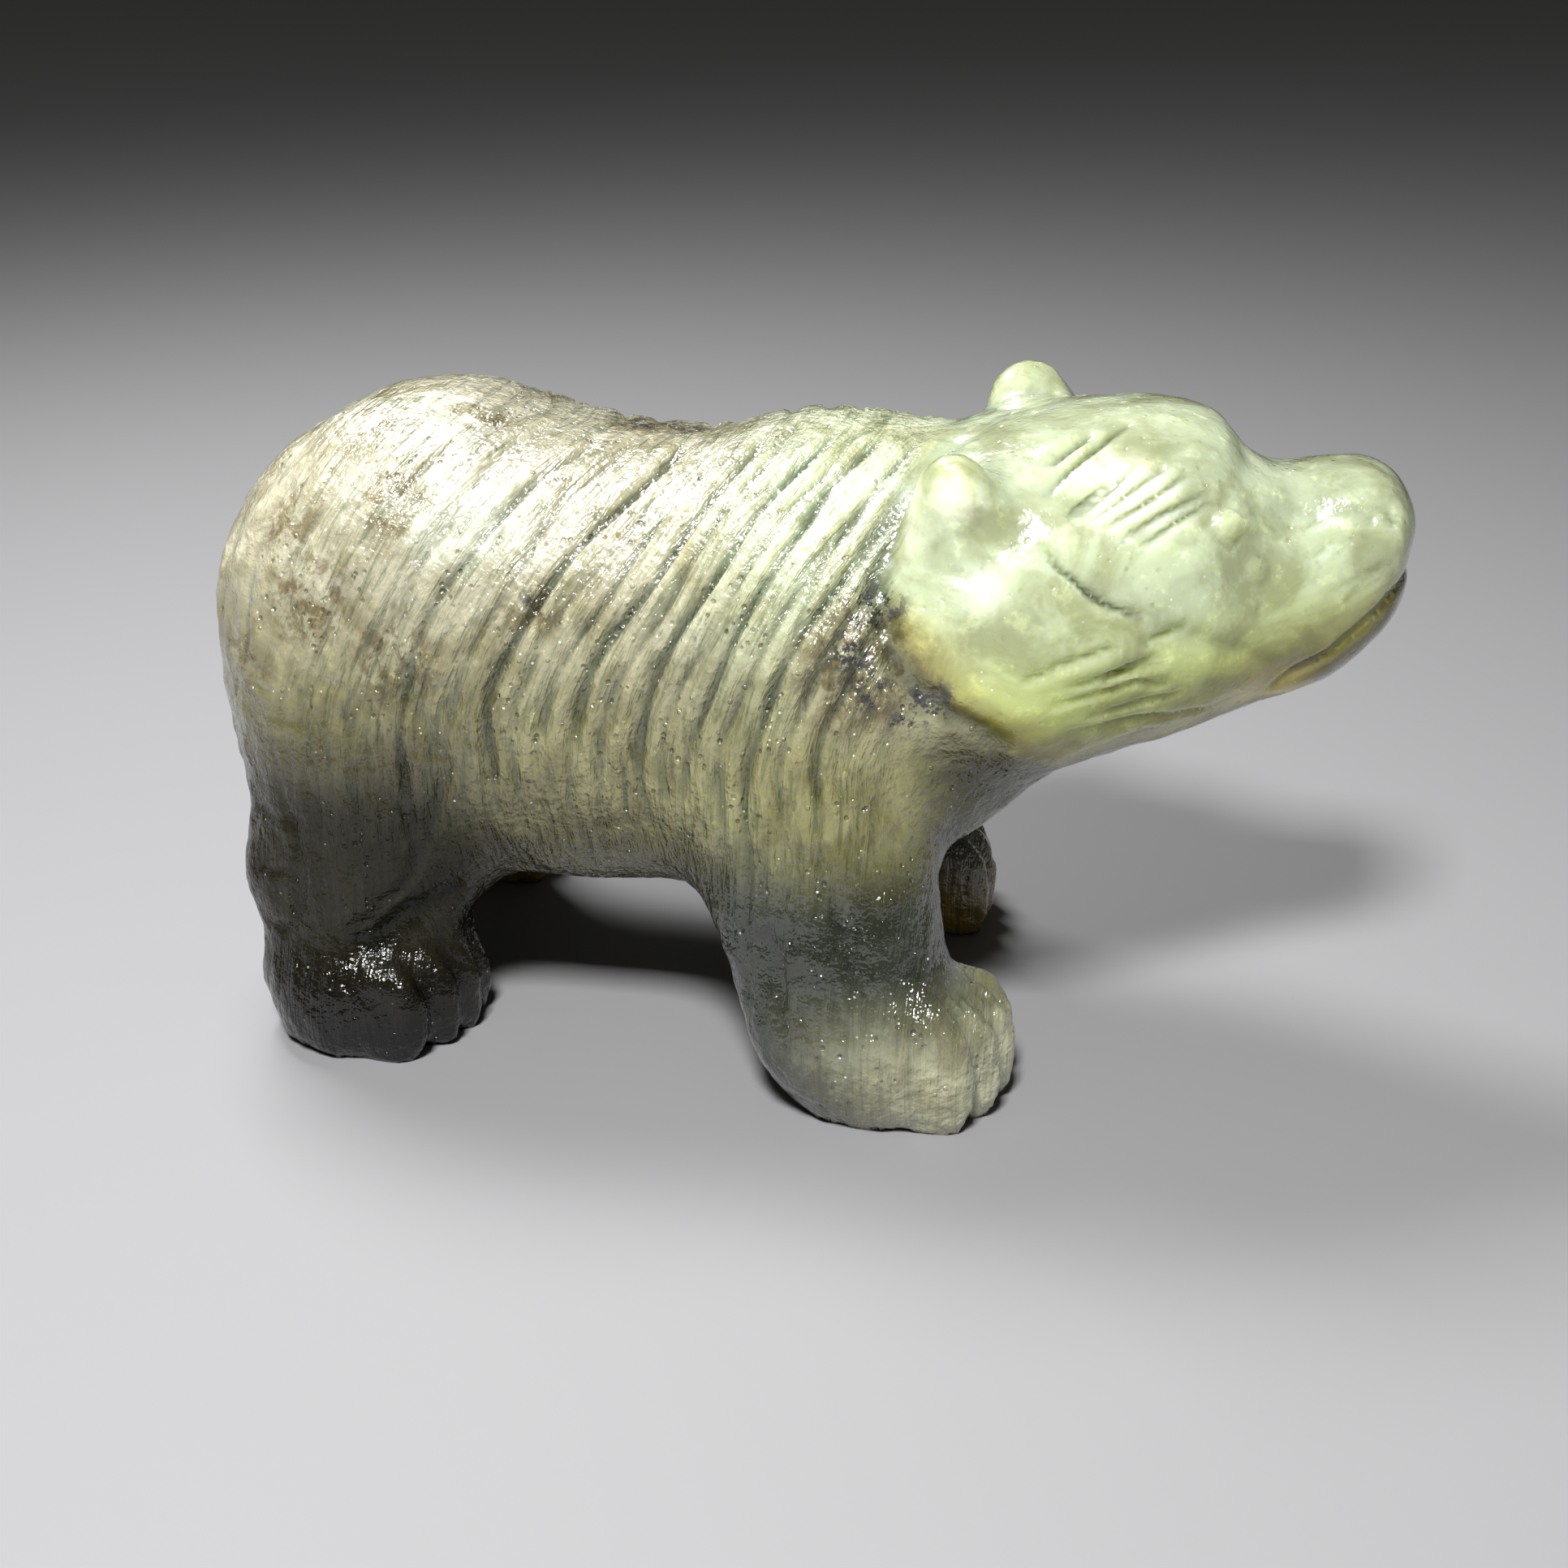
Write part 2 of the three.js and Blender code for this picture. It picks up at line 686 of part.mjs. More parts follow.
// The figure with its paws ground off flat at z = 0, as four level soles.
function groundFlat({ points, faces }) {
  const used = new Map();
  const positions = [];
  const index = [];
  for (const v of faces.flat()) {
    if (!used.has(v)) {
      used.set(v, used.size);
      positions.push(...points[v]);
    }
    index.push(used.get(v));
  }
  const vertProperties = new Float32Array(positions);
  const solid = new Manifold(new Mesh({ numProp: 3, vertProperties, triVerts: new Uint32Array(index) }));
  return solid.trimByPlane([0, 0, 1], 0).simplify(soleTolerance).getMesh();
}

// The figure as a geometry, stood on its soles with the middle of its box over the origin.
function carvedStone() {
  const form = bearForm();
  const low = [-29 * unit, -stanceWidth / 2 - 3 * unit, -4 * unit];
  const high = [25 * unit, stanceWidth / 2 + 3 * unit, 30 * unit];
  let surface = surfaceOf(form, low, high);
  for (let pass = 0; pass < evenPasses; pass += 1) {
    surface = evened(surface, form);
  }
  const mesh = groundFlat(thinnedOut(surface, facetCount));
  const geometry = new THREE.BufferGeometry();
  geometry.setAttribute('position', new THREE.BufferAttribute(mesh.vertProperties, 3));
  geometry.setIndex(new THREE.BufferAttribute(mesh.triVerts, 1));
  geometry.computeBoundingBox();
  const box = geometry.boundingBox;
  geometry.translate(-(box.min.x + box.max.x) / 2, -(box.min.y + box.max.y) / 2, -box.min.z);
  geometry.computeVertexNormals();
  return geometry;
}

function labradorite() {
  return new THREE.MeshStandardMaterial({ color: 0xb9bd9c, roughness: 0.22, metalness: 0, name: 'labradorite' });
}

const group = new THREE.Group();
const bear = new THREE.Mesh(carvedStone(), labradorite());
bear.name = 'polar_bear';
group.add(bear);

export default group;
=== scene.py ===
import math

import bpy
import numpy as np
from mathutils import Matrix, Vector


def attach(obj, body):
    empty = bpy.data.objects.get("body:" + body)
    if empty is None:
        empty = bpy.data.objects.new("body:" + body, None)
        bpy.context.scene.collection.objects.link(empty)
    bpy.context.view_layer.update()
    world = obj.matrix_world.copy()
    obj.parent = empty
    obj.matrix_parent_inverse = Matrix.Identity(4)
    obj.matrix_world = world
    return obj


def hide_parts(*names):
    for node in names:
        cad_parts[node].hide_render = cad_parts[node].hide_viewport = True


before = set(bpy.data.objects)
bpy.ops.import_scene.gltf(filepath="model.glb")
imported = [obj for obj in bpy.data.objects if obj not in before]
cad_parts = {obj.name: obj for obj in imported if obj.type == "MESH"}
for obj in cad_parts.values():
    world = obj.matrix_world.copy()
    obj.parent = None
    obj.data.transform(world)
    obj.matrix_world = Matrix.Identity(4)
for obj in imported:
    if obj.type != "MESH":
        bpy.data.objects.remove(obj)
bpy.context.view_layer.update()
bpy.ops.object.select_all(action="DESELECT")


# The view: a little ahead of square on to the bear's right side, looking down at 25 degrees. The lens is a
# mild tele, held close to so small a carving.
view_azimuth = math.radians(12)
view_elevation = math.radians(25)
view_distance = 0.083
looked_at = Vector((0.00085, -0.00415, 0.0115))
backwards = Vector((
    math.sin(view_azimuth) * math.cos(view_elevation),
    -math.cos(view_azimuth) * math.cos(view_elevation),
    math.sin(view_elevation),
))
bpy.ops.object.camera_add(location=looked_at + view_distance * backwards)
camera = bpy.context.object
camera.rotation_euler = backwards.to_track_quat("Z", "Y").to_euler()
camera.data.sensor_width = 36
camera.data.sensor_height = 36
camera.data.sensor_fit = "HORIZONTAL"
camera.data.lens = 46.58
camera.data.clip_start = 0.001
bpy.context.scene.camera = camera


# The stone as it comes from the saw and the grinding wheel: one pebble with the bear's whole form, soft
# at every edge. It starts from the solid, is rebuilt in even small faces, and is rubbed smooth.
voxel = 0.000234
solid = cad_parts["polar_bear"]
bear = solid.copy()
bear.data = solid.data.copy()
bear.name = "carved_bear"
bear.data.name = "carved_bear"
bear.parent = None
bear.matrix_world.identity()
bpy.context.scene.collection.objects.link(bear)
bear.select_set(True)
bpy.context.view_layer.objects.active = bear
bpy.ops.object.mode_set(mode="EDIT")
bpy.ops.mesh.select_all(action="SELECT")
bpy.ops.mesh.remove_doubles(threshold=1e-6)
bpy.ops.object.mode_set(mode="OBJECT")
bpy.ops.object.modifier_add(type="REMESH")
bear.modifiers[-1].mode = "VOXEL"
bear.modifiers[-1].voxel_size = voxel
bpy.ops.object.modifier_apply(modifier=bear.modifiers[-1].name)
bpy.ops.object.modifier_add(type="SMOOTH")
bear.modifiers[-1].factor = 0.5
bear.modifiers[-1].iterations = 14
bpy.ops.object.modifier_apply(modifier=bear.modifiers[-1].name)

# What the wheel leaves uneven, from broad to fine: how wide and how high, in metres.
uneven = ((0.0034, 0.00022), (0.0012, 0.00014), (0.0006, 0.00009))
for lump_size, lump_height in uneven:
    lumps = bpy.data.textures.new("lumps", "CLOUDS")
    lumps.noise_scale = lump_size
    lumps.noise_depth = 1
    bpy.ops.object.modifier_add(type="DISPLACE")
    bear.modifiers[-1].texture = lumps
    bear.modifiers[-1].texture_coords = "LOCAL"
    bear.modifiers[-1].mid_level = 0.5
    bear.modifiers[-1].strength = lump_height
    bpy.ops.object.modifier_apply(modifier=bear.modifiers[-1].name)


# The coat, combed with a small wheel: long shallow strokes that start beside the spine, sweep back and
# hang down the flanks, none of them alike. Places here are in millimetres.
count = len(bear.data.vertices)
flat = np.empty(count * 3)
bear.data.vertices.foreach_get("co", flat)
place = flat.reshape(-1, 3) * 1000
edges = np.empty(len(bear.data.edges) * 2, dtype=np.int64)
bear.data.edges.foreach_get("vertices", edges)
edges = edges.reshape(-1, 2)
neighbours = np.bincount(edges.ravel(), minlength=count).astype(float)


# From 0 at low to 1 at high, soft at both ends.
def ease(low, high, value):
    share = np.clip((value - low) / (high - low), 0, 1)
    return share * share * (3 - 2 * share)


# Each point takes half its value from its neighbours, over and over.
def spread(values, passes):
    for _ in range(passes):
        total = np.bincount(edges[:, 0], weights=values[edges[:, 1]], minlength=count)
        total += np.bincount(edges[:, 1], weights=values[edges[:, 0]], minlength=count)
        values = 0.5 * values + 0.5 * total / neighbours
    return values


def rub(where, passes):
    for axis in range(3):
        place[:, axis] += where * (spread(place[:, axis].copy(), passes) - place[:, axis])


# Hands the moved points to the mesh, and says which way is out at each.
def outward():
    bear.data.vertices.foreach_set("co", (place / 1000).ravel())
    bear.data.update()
    out = np.empty(count * 3)
    bear.data.vertices.foreach_get("normal", out)
    return out.reshape(-1, 3)


# Inside the coat the facets of the solid are rubbed away altogether before the strokes go in, and the head
# is polished finer than the rest.
on_coat = ease(-20.5, -16, place[:, 0]) * (1 - ease(5.0, 6.4, place[:, 0])) * ease(7, 10.5, place[:, 2])
rub(on_coat, passes=40)
on_head = ease(7.5, 11, place[:, 0]) * ease(11, 15, place[:, 2])
rub(on_head, passes=7)

# The comb counts along the back, the girth in degrees down from the spine. A stroke keeps to one place on
# the comb but for a slow and a quick wander. It fades in over 14 degrees of girth and out over 34, and its
# depth flickers as it goes.
spine_y = 0.3
barrel_z = 14.0
sweep_back = 6.3
slow_wander = 0.2
quick_wander = 0.09
flicker = 0.15
girth = np.degrees(np.arctan2(np.abs(place[:, 1] - spine_y), place[:, 2] - barrel_z))
comb = place[:, 0] + sweep_back * np.sin(np.radians(np.clip(girth, 0, 90))) ** 2
right_side = place[:, 1] < spine_y
chance = np.random.default_rng(7)
groove = np.zeros(count)


def comb_stroke(on_right, at, start, end, half_width, depth):
    wander = slow_wander * np.sin(girth / 15 + at * 5.1) + quick_wander * np.sin(girth / 5 + at * 9.7)
    off = comb - at - wander
    reach = ease(start - 6, start + 8, girth) * (1 - ease(end - 26, end + 8, girth))
    reach = reach * (1 - flicker + flicker * np.sin(girth / 3.1 + at * 23))
    cut = depth * reach * np.exp(-(off / half_width) ** 2)
    np.maximum(groove, np.where(right_side == on_right, cut, 0), out=groove)


# The strokes that tell, with where along the comb each runs and how deep, and the fine ones between them.
telling = [
    (-11.2, 0.168), (-9.0, 0.24), (-7.1, 0.408), (-5.4, 0.288), (-3.6, 0.6), (-2.6, 0.288), (-1.6, 0.336),
    (-0.1, 0.624), (1.1, 0.336), (2.3, 0.552), (3.5, 0.288), (4.6, 0.48), (5.9, 0.36), (7.1, 0.48),
    (8.4, 0.336), (9.7, 0.408),
]
telling_half_width = 0.24
fine_strokes = 130
for on_right in (True, False):
    for at, depth in telling:
        shift = chance.uniform(-0.15, 0.15) if on_right else chance.uniform(-0.6, 0.6)
        start = chance.uniform(4, 16)
        end = chance.uniform(96, 124)
        comb_stroke(on_right, at + shift, start, end, telling_half_width, depth)
    for _ in range(fine_strokes):
        at = chance.uniform(-16, 11.5)
        start = chance.uniform(4, 85)
        end = start + chance.uniform(15, 60)
        half_width = chance.uniform(0.09, 0.17)
        depth = chance.uniform(0.08, 0.26)
        comb_stroke(on_right, at, start, end, half_width, depth)
groove *= on_coat
place -= groove[:, None] * outward()


# The lines cut with the edge of the wheel: combed fur on brow and throat, the fold of the cheek, the mouth,
# the seam where the ruff of the shoulders meets the head, and the folds of the thighs. Each line runs
# through a few points on the skin, is deepest in its middle and fades out at both ends. Only points within
# the margin are moved, and none deeper than the skin, so a line on one side of an ear spares the other.
work_margin = 3.0
skin_thickness = 1.2


def cut_line(points, half_width, depth):
    normals = outward()
    line = np.asarray(points, dtype=float)
    nearest = [int(np.argmin(((place - point) ** 2).sum(1))) for point in line]
    line = place[nearest]
    legs = np.linalg.norm(np.diff(line, axis=0), axis=1)
    run = np.concatenate([[0], np.cumsum(legs)]) / legs.sum()
    low = line.min(0) - work_margin
    high = line.max(0) + work_margin
    close = np.flatnonzero(((place > low) & (place < high)).all(1))
    best = np.full(len(close), np.inf)
    share = np.zeros(len(close))
    for i in range(len(line) - 1):
        step = line[i + 1] - line[i]
        facing = normals[nearest[i]] + normals[nearest[i + 1]]
        facing /= np.linalg.norm(facing)
        offset = place[close] - line[i]
        along = np.clip(offset @ step / (step @ step), 0, 1)
        offset -= along[:, None] * step
        lift = offset @ facing
        away = np.linalg.norm(offset - lift[:, None] * facing, axis=1)
        away = np.where(np.abs(lift) < skin_thickness, away, np.inf)
        closer = away < best
        best[closer] = away[closer]
        share[closer] = run[i] + along[closer] * (run[i + 1] - run[i])
    taper = np.clip(1 - (2 * share - 1) ** 2, 0, 1) ** 0.5
    cut = depth * taper * np.exp(-(best / half_width) ** 2)
    groove[close] = np.maximum(groove[close], cut)
    place[close] -= cut[:, None] * normals[close]


# The head looks a little to the left, so its own middle plane is turned, and its far side is mirrored there.
head_pivot = np.array([7.15, -0.55])
head_turn = math.radians(6)
head_across = np.array([-math.sin(head_turn), math.cos(head_turn)])


def other_cheek(points):
    mirrored = []
    for px, py, pz in points:
        here = np.array([px, py])
        beside = (here - head_pivot) @ head_across
        there = here - 2 * beside * head_across
        mirrored.append((there[0], there[1], pz))
    return mirrored


def other_flank(points):
    return [(px, -py, pz) for px, py, pz in points]


# The right ear is rubbed low into the ruff behind it.
right_ear = np.array([7.4, -7.3, 24.8])
ear_stretch = (1, 0.8, 0.8)
ear_rub = 0.85
from_ear = np.linalg.norm((place - right_ear) * ear_stretch, axis=1)
rub(ear_rub * (1 - ease(1.4, 3.2, from_ear)), passes=40)
ear_front = [(8.4, -7.2, 26.2), (8.7, -7.3, 25.1), (8.7, -7.2, 23.8)]
ear_root = [(7.4, -7.4, 22.7), (8.2, -7.7, 22.1), (9.1, -7.5, 22.5)]
cut_line(ear_front, half_width=0.3, depth=0.14)
cut_line(ear_root, half_width=0.3, depth=0.14)

# Combed fur on the brow, from the crown down to the temple, and on the throat; the fold behind the cheek,
# the mouth, the edge of the nose and the whiskers.
brow_strokes = [
    [(13.6, -1.7, 26.7), (12.5, -3.4, 26.2), (11.6, -4.6, 25.5), (11.0, -5.8, 24.7)],
    [(14.2, -3.8, 25.8), (13.1, -5.0, 25.0), (12.0, -6.0, 24.1)],
    [(15.2, -3.5, 25.5), (13.8, -5.0, 24.8), (12.5, -6.0, 24.0)],
    [(16.0, -3.4, 25.3), (14.5, -4.9, 24.6), (13.1, -6.1, 23.9)],
    [(16.9, -3.3, 24.9), (15.3, -4.8, 24.2), (13.7, -6.1, 23.5)],
    [(17.0, -3.6, 24.4), (15.6, -4.9, 23.8), (14.3, -5.9, 23.1)],
    [(13.1, -4.6, 25.2), (11.7, -6.2, 24.1)],
    [(12.4, -2.5, 26.5), (10.8, -4.5, 25.5)],
]
throat_strokes = [
    [(11.5, -8.0, 18.9), (13.6, -7.1, 19.5), (14.2, -6.7, 19.6)],
    [(12.1, -7.5, 18.0), (14.0, -6.7, 18.3), (15.9, -5.7, 18.7)],
    [(11.6, -7.6, 17.1), (14.9, -6.1, 17.9), (16.1, -5.2, 17.6)],
    [(13.5, -6.9, 18.1), (15.6, -5.8, 19.1)],
    [(13.0, -6.7, 16.5), (14.8, -5.8, 16.9), (16.8, -4.6, 17.2)],
    [(12.2, -6.9, 15.9), (14.8, -5.2, 16.0), (17.7, -2.8, 15.9)],
    [(10.5, -8.2, 18.3), (12.1, -7.8, 19.0)],
    [(14.8, -6.4, 19.5), (16.6, -5.3, 19.9)],
]
whiskers = [
    [(21.6, -2.2, 21.9), (22.2, -1.8, 22.9)],
    [(21.4, -2.4, 20.4), (23.0, -1.8, 21.4), (23.5, -1.6, 21.7)],
    [(22.1, -2.0, 20.1), (23.8, -1.4, 21.3)],
    [(22.4, -2.0, 20.5), (23.9, -1.4, 21.9)],
    [(20.3, -2.1, 22.9), (21.1, -1.5, 23.6)],
    [(18.8, -3.7, 20.0), (19.3, -3.3, 20.5)],
    [(22.6, -1.7, 23.1), (23.1, -1.3, 23.6)],
    [(20.3, -2.8, 20.6), (21.2, -2.3, 21.4)],
    [(20.6, -2.5, 21.9), (21.7, -1.9, 22.8)],
]
nose_edge = [(19.0, -1.9, 23.8), (20.5, -1.6, 23.5), (22.3, -1.3, 23.6), (23.8, -0.4, 23.8)]
nostril = [(23.3, -1.1, 23.8), (23.6, -1.2, 23.5), (23.8, -1.3, 23.1)]
cheek_fold = [
    (11.2, -7.0, 23.3), (11.6, -7.2, 22.7), (12.2, -7.1, 22.2), (12.9, -7.0, 21.5), (13.5, -6.9, 21.1),
    (14.9, -6.3, 20.4),
]
lip_fold = [
    (14.9, -6.3, 20.4), (16.1, -5.5, 19.8), (17.5, -4.3, 19.0), (19.0, -3.2, 18.2), (20.3, -1.8, 17.1),
]
mouth = [
    (24.4, 1.4, 21.0), (24.5, 0.6, 20.8), (24.0, -0.7, 20.3), (23.1, -1.2, 19.0), (21.9, -1.3, 17.8),
    (20.5, -1.7, 17.1), (19.7, -1.6, 16.2),
]
# For each kind of line: half its width, and its depth on the right and on the left of the head.
head_lines = [
    (brow_strokes, 0.18, 0.32, 0.26),
    (throat_strokes, 0.16, 0.24, 0.2),
    (whiskers, 0.14, 0.14, 0.14),
    ([nose_edge], 0.45, 0.14, 0.14),
    ([nostril], 0.2, 0.2, 0.2),
    ([cheek_fold], 0.18, 0.36, 0.3),
    ([lip_fold], 0.3, 0.1, 0.1),
    ([mouth], 0.2, 0.3, 0.3),
]
for strokes, half_width, right_depth, left_depth in head_lines:
    for stroke in strokes:
        cut_line(stroke, half_width, right_depth)
        cut_line(other_cheek(stroke), half_width, left_depth)

# The seam where the ruff of the shoulders meets the head, and the folds of the thighs.
collar = [
    (7.4, -1.2, 25.7), (5.9, -4.2, 25.2), (5.4, -6.4, 23.7), (5.2, -7.8, 21.7), (5.7, -8.2, 19.1),
    (7.2, -8.1, 17.2), (9.0, -7.8, 16.2), (10.4, -6.9, 14.8),
]
cut_line(collar, half_width=0.7, depth=0.35)
cut_line(collar, half_width=0.22, depth=0.15)
cut_line(other_flank(collar), half_width=0.75, depth=0.4)
thigh_front = [
    (-13.2, -8.9, 20.6), (-13.9, -9.1, 18.6), (-13.0, -9.4, 16.0), (-11.8, -9.4, 13.3), (-12.2, -9.1, 11.8),
    (-12.9, -9.0, 9.7), (-13.7, -9.1, 8.0), (-14.9, -9.5, 6.8), (-16.6, -9.9, 5.6),
]
cut_line(thigh_front, half_width=0.3, depth=0.22)
cut_line(other_flank(thigh_front), half_width=0.3, depth=0.2)
thigh_hem = [
    (-11.9, -7.4, 7.3), (-12.8, -8.1, 6.7), (-14.1, -9.0, 6.0), (-15.0, -9.5, 5.2), (-16.8, -10.0, 5.0),
]
cut_line(thigh_hem, half_width=0.8, depth=0.5)
cut_line(other_flank(thigh_hem), half_width=0.7, depth=0.4)
shank_seams = [
    [(-18.9, -9.4, 12.5), (-18.7, -9.4, 10.8), (-18.2, -9.7, 8.7), (-18.2, -9.8, 7.3), (-18.9, -9.6, 5.2)],
    [(-20.9, -8.2, 10.2), (-17.6, -9.8, 10.4)],
    [(-20.7, -8.8, 7.9), (-18.2, -9.8, 8.0)],
    [(-20.6, -9.0, 5.3), (-18.9, -9.6, 5.2)],
    [(-16.4, -9.9, 9.6), (-15.9, -9.9, 7.9), (-15.7, -9.8, 6.6)],
    [(-14.9, -9.6, 12.5), (-13.6, -9.4, 11.2), (-13.4, -9.2, 9.9)],
]
haunch_arcs = [
    [(-11.7, -1.9, 25.9), (-12.5, -5.5, 25.0), (-13.9, -7.4, 23.5), (-14.9, -8.6, 21.5)],
    [(-10.0, -5.2, 24.4), (-11.3, -7.4, 23.0), (-12.9, -8.6, 21.4), (-14.3, -9.2, 19.5)],
    [(-15.4, -5.0, 25.0), (-16.9, -7.0, 23.4), (-18.0, -8.0, 21.2), (-18.6, -8.7, 18.6)],
    [(-18.6, -5.6, 23.6), (-19.8, -7.0, 21.4), (-20.4, -7.7, 19.0), (-20.5, -8.2, 16.2)],
    [(-21.2, -5.2, 21.6), (-22.0, -6.2, 19.0), (-22.2, -6.6, 16.0)],
]
for arc in haunch_arcs:
    cut_line(arc, half_width=0.3, depth=0.18)
    cut_line(other_flank(arc), half_width=0.3, depth=0.16)
for seam in shank_seams:
    cut_line(seam, half_width=0.22, depth=0.18)
    cut_line(other_flank(seam), half_width=0.22, depth=0.14)

# Short strokes over the toes of the right fore paw, long faint ones down both fore legs, and scratches
# across the right haunch.
paw_strokes = [
    [(7.3, -11.2, 5.2), (8.3, -11.4, 3.2)],
    [(7.6, -10.5, 5.7), (9.0, -11.1, 3.9)],
    [(8.0, -9.7, 6.0), (9.3, -9.8, 4.2)],
    [(8.3, -9.1, 5.9), (9.8, -9.5, 4.2)],
    [(8.6, -8.6, 5.7), (10.1, -9.3, 4.3)],
    [(9.4, -7.9, 5.2), (10.5, -8.0, 4.0)],
]
for stroke in paw_strokes:
    cut_line(stroke, half_width=0.2, depth=0.16)
streaks_per_leg = 16
streak_slant = 0.2
right_leg = (-10.8, 0.0)
left_leg = (10.2, -2.5)
for leg_side, leg_back in (right_leg, left_leg):
    for _ in range(streaks_per_leg):
        px = chance.uniform(-0.5, 5.0) + leg_back
        top = chance.uniform(6.5, 12)
        length = chance.uniform(2.5, 5.5)
        foot = (px + streak_slant * length, leg_side, top - length)
        cut_line([(px, leg_side, top), foot], half_width=0.25, depth=chance.uniform(0.1, 0.2))
haunch_scratches = 22
haunch_side = -9.0
for _ in range(haunch_scratches):
    px = chance.uniform(-21, -12)
    pz = chance.uniform(15.5, 19)
    end = (px + chance.uniform(0.8, 2.2), haunch_side, pz + chance.uniform(-0.3, 0.3))
    cut_line([(px, haunch_side, pz), end], half_width=0.14, depth=0.08)


# Small rounds left proud: the two eyes, and a bump on the cheek under the right one. The wheel sank a faint
# ring around each. Distances from a round are counted in its radii.
ring_share = 0.15
ring_radius = 1.15
ring_width = 0.3
ring_darkness = 1.5


def away_from(at, radius):
    return np.linalg.norm(place - np.array(at), axis=1) / radius


def leave_proud(at, radius, height):
    away = away_from(at, radius)
    dome = np.sqrt(np.clip(1 - away ** 2, 0, 1)) * height
    ring = ring_share * height * np.exp(-((away - ring_radius) / ring_width) ** 2)
    place[:] += (dome - ring)[:, None] * outward()
    # The ring darkens the colour with the grooves, partly dirt and partly painted shade.
    groove[:] = np.maximum(groove, ring_darkness * ring)


right_eye = (17.6, -3.9, 23.6)
left_eye = other_cheek([right_eye])[0]
cheek_bump = (18.8, -3.5, 21.7)
leave_proud(right_eye, radius=0.65, height=0.28)
leave_proud(left_eye, radius=0.65, height=0.28)
leave_proud(cheek_bump, radius=0.55, height=0.16)


# Chips and holes where a crystal broke out of the surface: place, radius and depth of each.
def break_out(at, radius, depth):
    hole = depth * (1 - ease(0.35, 1.1, away_from(at, radius)))
    place[:] -= hole[:, None] * outward()
    groove[:] = np.maximum(groove, hole)


haunch_chips = [((-17.8, -8.3, 20.9), 0.4, 0.22), ((-16.1, -8.8, 20.1), 0.55, 0.25)]
leg_pits = [((-21.3, -7.6, 15.2), 0.25, 0.12), ((-14.9, -10.0, 11.0), 0.28, 0.12)]
ruff_chips = [((5.0, -8.1, 21.5), 0.55, 0.3), ((5.6, -8.2, 20.6), 0.4, 0.25), ((7.4, -8.3, 17.5), 0.5, 0.25)]
for at, radius, depth in haunch_chips + leg_pits + ruff_chips:
    break_out(at, radius, depth)


# Where the stone swells out a little: the hock and ankle of the right hind leg, the heel of the right fore
# paw and the left ear.
def swell(at, radius, height):
    rise = height * (1 - ease(0, 1, away_from(at, radius)))
    place[:] += rise[:, None] * outward()


hock = (-21.3, -8.6, 7.0)
ankle = (-20.9, -8.4, 3.6)
heel = (1.6, -11.2, 3.4)
left_ear = (8.3, 5.8, 25.9)
swell(hock, radius=3.6, height=0.5)
swell(ankle, radius=2.6, height=0.25)
swell(heel, radius=3.6, height=0.35)
swell(left_ear, radius=1.6, height=0.4)

# Last, the soles are ground level again and the faces are set to shade as one smooth skin.
sole_grind = 0.12
place[:, 2] = np.where(place[:, 2] < sole_grind, 0, place[:, 2])
outward()
bpy.ops.object.shade_smooth()


# Labradorite, polished wet: pale yellow-green and clear in the head, milky over the back, grey and dark in
# the legs, with black patches behind the cheek. The tints are laid on point by point, with painted shade and
# painted highlights among them, and the shader adds clouds, painted glints, pits and gloss.
def tint(colour, weight):
    shade[:] += (np.array(colour) - shade) * weight[:, None]


def blot(at, radius):
    return 1 - ease(0.4, 1.1, away_from(at, radius))


def blots(patches):
    strongest = np.zeros(count)
    for at, radius in patches:
        strongest = np.maximum(strongest, blot(at, radius))
    return strongest


# The trunk: cream on the rump, greener at the shoulders; olive flanks and darker belly, deepened with
# painted shade.
x, y, z = place.T
rump_cream = (0.46, 0.44, 0.33)
shoulder_green = (0.55, 0.59, 0.41)
flank_olive_and_shade = (0.26, 0.245, 0.12)
belly_olive_and_shade = (0.12, 0.108, 0.02)
shade = np.tile(rump_cream, (count, 1))
tint(shoulder_green, ease(-5, 3, x))
tint(flank_olive_and_shade, 1 - ease(14, 22, z))
tint(belly_olive_and_shade, 1 - ease(8, 15, z))

# The fore legs: olive by the elbow and dark grey below it, darkened by painted shade, with a pale paw on the
# right.
fore = ease(-4, 0, x)
right_fore_paw = (1 - ease(2, 7, z)) * ease(2, 9, x + 0.3 * z) * (1 - ease(-6, -4, y))
elbow_olive = (0.30, 0.29, 0.13)
leg_grey_and_shade = (0.022, 0.027, 0.018)
paw_cream = (0.42, 0.42, 0.28)
tint(elbow_olive, (1 - ease(12, 17, z)) * fore)
tint(leg_grey_and_shade, (1 - ease(8.5, 14, z)) * fore)
tint(paw_cream, right_fore_paw)

# The hind legs: dark brown, and almost black at the paws, the stone's dark colour deepened by painted shade.
hind = 1 - ease(-13, -8, x)
leg_brown_and_shade = (0.02, 0.018, 0.01)
paw_black_and_shade = (0.004, 0.003, 0.002)
tint(leg_brown_and_shade, (1 - ease(10.5, 18.5, z)) * hind)
tint(paw_black_and_shade, (1 - ease(2, 7, z)) * hind)

# The chest is dark olive, partly painted shade under the head, and the two left paws yellow-brown, painted
# light shining through.
chest = ease(5.5, 9, x + 0.3 * (z - 12)) * ease(6.5, 9, z) * (1 - ease(13.5, 17, z))
chest_olive_and_shade = (0.055, 0.052, 0.007)
left_paw_shine_through = (0.30, 0.22, 0.05)
tint(chest_olive_and_shade, chest)
tint(left_paw_shine_through, (1 - ease(1.5, 5, z)) * ease(0, 4, y))

